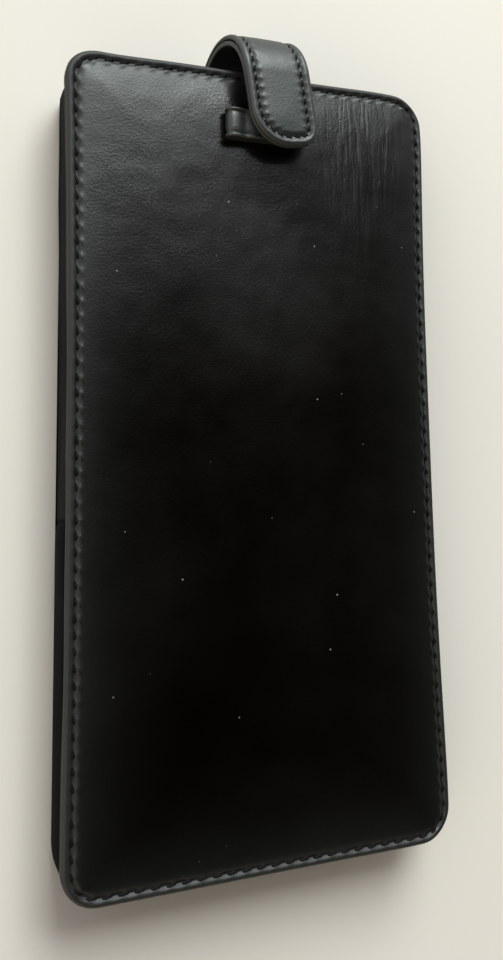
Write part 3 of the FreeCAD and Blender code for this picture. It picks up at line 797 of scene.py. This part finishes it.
def leather(name, dark, light, roughness, grain=0.2, grain_size=0.55, specular=0.8, front=False):
    """Pebbled leather with uneven dye and gloss; the front also has dust, a worn rim and wrinkles."""
    material, nodes, links, shader = new_material(name)
    place = nodes.new("ShaderNodeTexCoord").outputs["Object"]
    patches = texture(nodes, links, "ShaderNodeTexNoise", 28, place, Detail=3.0)
    mottle = texture(nodes, links, "ShaderNodeTexNoise", 900, place, Detail=4.0)
    both = nodes.new("ShaderNodeMix")
    both.inputs["Factor"].default_value = 0.4
    links.new(patches.outputs["Fac"], both.inputs["A"])
    links.new(mottle.outputs["Fac"], both.inputs["B"])
    colour = ramp(nodes, links, both.outputs["Result"], [(0.3, dark), (0.7, light)])
    gloss = ramp(nodes, links, patches.outputs["Fac"],
                 [(0.3, grey(roughness - 0.05)), (0.7, grey(roughness + 0.06))])
    if front:
        colour = dust(nodes, links, place, colour)
        colour, gloss = worn_rim(nodes, links, place, colour, gloss)
    links.new(colour, shader.inputs["Base Color"])
    links.new(gloss, shader.inputs["Roughness"])
    cells = texture(nodes, links, "ShaderNodeTexVoronoi", 1000 / grain_size, place,
                    feature="SMOOTH_F1", Smoothness=0.6)
    pores = texture(nodes, links, "ShaderNodeTexNoise", 3200 / grain_size, place, Detail=3.0)
    shader.inputs["Specular IOR Level"].default_value = specular
    layers = [(cells.outputs["Distance"], grain, 0.00010), (pores.outputs["Fac"], grain, 0.00010),
              (patches.outputs["Fac"], 0.2, 0.0006)]
    if front:
        layers.append((wrinkles(nodes, links, place), 0.25, 0.00018))
    bump_layers(nodes, links, shader, layers)
    return material


WRINKLES_AT = (0.032, 0.087, 0.020)      # middle of the wrinkled patch, in metres
WRINKLES_SHRINK = (62, 34, 0)            # one over the patch's half sizes


def vector_maths(nodes, links, operation, first, second=None):
    """A vector maths node on a socket and, if given, a constant."""
    node = nodes.new("ShaderNodeVectorMath")
    node.operation = operation
    links.new(first, node.inputs[0])
    if second is not None:
        node.inputs[1].default_value = second
    return node


def wrinkles(nodes, links, place):
    """Fine creases along the case, only at the front's upper right."""
    stretch = nodes.new("ShaderNodeMapping")
    stretch.inputs["Scale"].default_value = (1.0, 0.09, 1.0)
    stretch.inputs["Rotation"].default_value = (0, 0, 0.12)
    links.new(place, stretch.inputs["Vector"])
    lines = texture(nodes, links, "ShaderNodeTexNoise", 1000, stretch.outputs["Vector"], Detail=3.0,
                    Distortion=0.25)
    creases = ramp(nodes, links, lines.outputs["Fac"],
                   [(0.36, grey(0.0)), (0.47, grey(0.8)), (0.6, grey(1.0))])
    centre = vector_maths(nodes, links, "SUBTRACT", place, WRINKLES_AT)
    shrink = vector_maths(nodes, links, "MULTIPLY", centre.outputs["Vector"], WRINKLES_SHRINK)
    length = vector_maths(nodes, links, "LENGTH", shrink.outputs["Vector"])
    mask = ramp(nodes, links, length.outputs["Value"], [(0.35, grey(1)), (1.0, grey(0))])
    mix = nodes.new("ShaderNodeMix")
    mix.data_type = "RGBA"
    links.new(mask, mix.inputs["Factor"])
    mix.inputs["A"].default_value = (1, 1, 1, 1)
    links.new(creases, mix.inputs["B"])
    return mix.outputs["Result"]


def thread_material():
    material, nodes, links, shader = new_material("waxed_thread")
    place = nodes.new("ShaderNodeTexCoord").outputs["Object"]
    fibres = texture(nodes, links, "ShaderNodeTexNoise", 4000, place, Detail=2.0)
    links.new(ramp(nodes, links, fibres.outputs["Fac"], [(0.3, grey(0.004)), (0.75, grey(0.014))]),
              shader.inputs["Base Color"])
    shader.inputs["Roughness"].default_value = 0.7
    shader.inputs["Specular IOR Level"].default_value = 0.3
    bump_layers(nodes, links, shader, [(fibres.outputs["Fac"], 0.4, 0.0001)])
    return material


def metal_material(name, base, roughness):
    material, nodes, links, shader = new_material(name)
    place = nodes.new("ShaderNodeTexCoord").outputs["Object"]
    scratches = texture(nodes, links, "ShaderNodeTexNoise", 2500, place, Detail=4.0)
    links.new(ramp(nodes, links, scratches.outputs["Fac"],
                   [(0.3, grey(roughness - 0.08)), (0.7, grey(roughness + 0.12))]),
              shader.inputs["Roughness"])
    dull = tuple(c * 0.8 for c in base)
    links.new(ramp(nodes, links, scratches.outputs["Fac"], [(0.3, dull), (0.7, base)]),
              shader.inputs["Base Color"])
    shader.inputs["Metallic"].default_value = 1.0
    return material


def fibre_material(name, dark, light, size, roughness=0.85):
    """Pressed board, raw split leather or woven tape; the core's near-black colour is painted shade."""
    material, nodes, links, shader = new_material(name)
    place = nodes.new("ShaderNodeTexCoord").outputs["Object"]
    fibres = texture(nodes, links, "ShaderNodeTexNoise", 1000 / size, place, Detail=6.0)
    links.new(ramp(nodes, links, fibres.outputs["Fac"], [(0.3, dark), (0.7, light)]),
              shader.inputs["Base Color"])
    shader.inputs["Roughness"].default_value = roughness
    bump_layers(nodes, links, shader, [(fibres.outputs["Fac"], 0.5, 0.0002)])
    return material


def floor_material():
    material, nodes, links, shader = new_material("pale_paper")
    place = nodes.new("ShaderNodeTexCoord").outputs["Object"]
    tone = texture(nodes, links, "ShaderNodeTexNoise", 6, place, Detail=2.0)
    links.new(ramp(nodes, links, tone.outputs["Fac"],
                   [(0.3, (0.725, 0.69, 0.64)), (0.7, (0.75, 0.715, 0.665))]),
              shader.inputs["Base Color"])
    shader.inputs["Roughness"].default_value = 0.8
    return material


def paint(piece, material):
    piece.data.materials.clear()
    piece.data.materials.append(material)


# Painted shade: the front's base colour is far darker than black leather's, standing in for the dark of
# the panel's middle in this light; the gloss brings up the rest.
front_shade_skin = leather("front_leather_painted_shade", (0.0014, 0.0008, 0.0003), (0.0028, 0.0016, 0.0005), 0.25,
                     grain=0.2, grain_size=0.6, specular=0.8, front=True)
wall_skin = leather("wall_leather_skin", (0.0030, 0.0038, 0.0052), (0.0062, 0.0078, 0.0100), 0.6,
                    specular=0.12)
# Painted shade: the lower wall uses the upper walls' leather made darker and a little bluer, with almost
# no gloss, standing in for the shade it lies in.
lower_wall_shade_skin = leather("lower_wall_leather_painted_shade", (0.0016, 0.0026, 0.0036),
                          (0.0036, 0.0054, 0.0074), 0.6, specular=0.04)
strap_skin = leather("strap_leather_skin", (0.026, 0.031, 0.028), (0.042, 0.049, 0.045), 0.47,
                     grain=0.3, grain_size=0.6, specular=1.0)
lining_skin = leather("lining_skin", (0.016, 0.015, 0.014), (0.030, 0.027, 0.024), 0.62)
thread = thread_material()
nickel = metal_material("nickel_plate", (0.72, 0.70, 0.66), 0.28)
spring_steel = metal_material("spring_steel", (0.55, 0.55, 0.56), 0.22)
board_material = fibre_material("fibreboard", (0.24, 0.21, 0.17), (0.38, 0.34, 0.29), 1.2)
# Painted shade: the core is near black so that, where it shows beside the bridge's rolls, it reads as the
# shadow there.
core_shade_material = fibre_material("rolled_offcut", (0.006, 0.006, 0.006), (0.016, 0.015, 0.014), 0.8)
tape_material = fibre_material("cotton_tape", (0.42, 0.39, 0.33), (0.58, 0.55, 0.47), 0.4)

for name, node in frame["nodes"].items():
    if name.endswith("lining"):
        paint(node, lining_skin)
    elif name.endswith("board"):
        paint(node, board_material)
    elif name.endswith("core"):
        paint(node, core_shade_material)
    elif name.endswith("tape"):
        paint(node, tape_material)
    elif name.endswith(("thread", "threads")):
        paint(node, thread)
    elif name == "snap_spring":
        paint(node, spring_steel)
    elif name.startswith("snap"):
        paint(node, nickel)
    else:
        paint(node, wall_skin)


# ---------------------------------------------------------------- pieces on their bodies; the strap's pieces are baked where they are, not attached to any body
def place(piece, material, slot, body_name, *replaced):
    paint(piece, material)
    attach(piece, body_name)
    if replaced:
        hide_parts(*replaced)
    return piece


place(front_top_ply(), front_shade_skin, "black_leather", "case_body", "front_outer_leather")
place(lining_ply(), front_shade_skin, "black_leather", "case_body", "front_lining")
place(front_stitches(), thread, "thread", "case_body", "front_seam_thread")

lower_wall, left_wall, right_wall = side_walls()
place(lower_wall, lower_wall_shade_skin, "wall_leather", "case_body", "gusset_lower_leather")
place(left_wall, wall_skin, "wall_leather", "case_body", "gusset_upper_left_leather")
place(right_wall, wall_skin, "wall_leather", "case_body", "gusset_upper_right_leather")
place(side_stitches(), thread, "thread", "case_body", "gusset_side_threads")
place(back_stitches(), thread, "thread", "case_body", "back_seam_thread")
place(root_stitches(), thread, "thread", "case_body", "strap_root_thread")
place(bridge_band(), strap_skin, "strap_leather", "case_body", "bridge_leather")


def bend(piece, material, slot, bodies, start, end, *replaced):
    paint(piece, material)
    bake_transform(piece)
    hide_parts(*replaced)
    return piece


GROOVE = 0.05              # half the gap between the strap's plies at its edges
root_bend = (("case_body", "strap_arch"),
             (ROOT_X, ROOT_Y - 1.5, ROOT_Z), (ROOT_X, ROOT_Y + 4.5, ROOT_Z))
crown_bend = (("strap_arch", "strap_tip"),
              (CROWN_X, CROWN_Y, CROWN_Z - 6), (CROWN_X, CROWN_Y, CROWN_Z + 6))

bend(strap_ply("strap_back_outer", SPLIT_S, END_S, GROOVE, STRAP_HALF_T, True, 1.15), strap_skin,
     "strap_leather", *root_bend, "strap_arch_outer")
bend(strap_ply("strap_back_inner", SPLIT_S, END_S, -STRAP_HALF_T, -GROOVE, False), strap_skin,
     "strap_leather", *root_bend, "strap_arch_inner", "strap_root_leather")
bend(strap_stitches("strap_back_stitches", SPLIT_S, END_S - 9), thread, "thread", *root_bend,
     "strap_arch_threads")
bend(strap_ply("strap_front_outer", 0, SPLIT_S, GROOVE, STRAP_HALF_T, True, 1.15), strap_skin,
     "strap_leather", *crown_bend, "strap_tip_outer")
bend(strap_ply("strap_front_inner", 0, SPLIT_S, -STRAP_HALF_T, -GROOVE, False), strap_skin,
     "strap_leather", *crown_bend, "strap_tip_inner")
bend(strap_stitches("strap_front_stitches", 0, SPLIT_S), thread, "thread", *crown_bend,
     "strap_tip_thread")


# ---------------------------------------------------------------- floor, light and camera
def floor():
    size = 1500.0
    points = [(-size, -size, 0), (size, -size, 0), (size, size, 0), (-size, size, 0)]
    piece = make_mesh("floor", np.array(points, float), [(0, 1, 2, 3)])
    paint(piece, floor_material())


def area_light(name, place_m, aim_m, size, power, colour):
    data = bpy.data.lights.new(name, "AREA")
    data.shape = "RECTANGLE"
    data.size, data.size_y = size
    data.energy = power
    data.color = colour
    lamp = bpy.data.objects.new(name, data)
    lamp.location = place_m
    lamp.rotation_euler = (Vector(aim_m) - Vector(place_m)).to_track_quat("-Z", "Y").to_euler()
    bpy.context.scene.collection.objects.link(lamp)


def room():
    """Bright walls all round and a dark ceiling; cool light, but warm from the near side."""
    world = bpy.data.worlds.new("soft_room")
    world.use_nodes = True
    nodes, links = world.node_tree.nodes, world.node_tree.links
    direction = nodes.new("ShaderNodeTexCoord").outputs["Generated"]
    dark_way = Vector((0.40, -0.30, 0.87)).normalized()
    toward = vector_maths(nodes, links, "DOT_PRODUCT", direction, dark_way)
    light = ramp(nodes, links, toward.outputs["Value"],
                 [(0.10, grey(1.25)), (0.50, grey(0.92)), (0.78, grey(0.24)), (0.90, grey(0.005))])
    parts = nodes.new("ShaderNodeSeparateXYZ")
    links.new(direction, parts.inputs["Vector"])
    from_near = arithmetic(nodes, links, "MULTIPLY_ADD", parts.outputs["Y"], 0.5, 0.5)
    tint = ramp(nodes, links, from_near, [(0.34, (0.92, 0.80, 0.64)), (0.53, (0.95, 0.96, 0.99))])
    mix = nodes.new("ShaderNodeMix")
    mix.data_type, mix.blend_type = "RGBA", "MULTIPLY"
    mix.inputs["Factor"].default_value = 1.0
    links.new(light, mix.inputs["A"])
    links.new(tint, mix.inputs["B"])
    links.new(mix.outputs["Result"], nodes["Background"].inputs["Color"])
    bpy.context.scene.world = world


def studio():
    """The room, and one large soft window past the case's top end."""
    room()
    area_light("window", place_m=(0.20, 1.36, 1.34), aim_m=(0.0, 0.03, 0.0), size=(1.0, 1.26),
               power=37, colour=(0.94, 1.0, 0.98))


def camera():
    data = bpy.data.cameras.new("camera")
    data.lens = 37.5
    data.sensor_width = 36.0
    data.shift_x, data.shift_y = -0.0478, -0.1692
    view = bpy.data.objects.new("camera", data)
    view.location = (-0.0995, -0.0045, 0.2707)
    view.rotation_euler = [math.radians(a) for a in (9.09, -23.342, -1.393)]
    bpy.context.scene.collection.objects.link(view)
    bpy.context.scene.camera = view


floor()
studio()
camera()
bpy.context.scene.view_settings.view_transform = "Standard"
bpy.context.scene.view_settings.gamma = 0.8
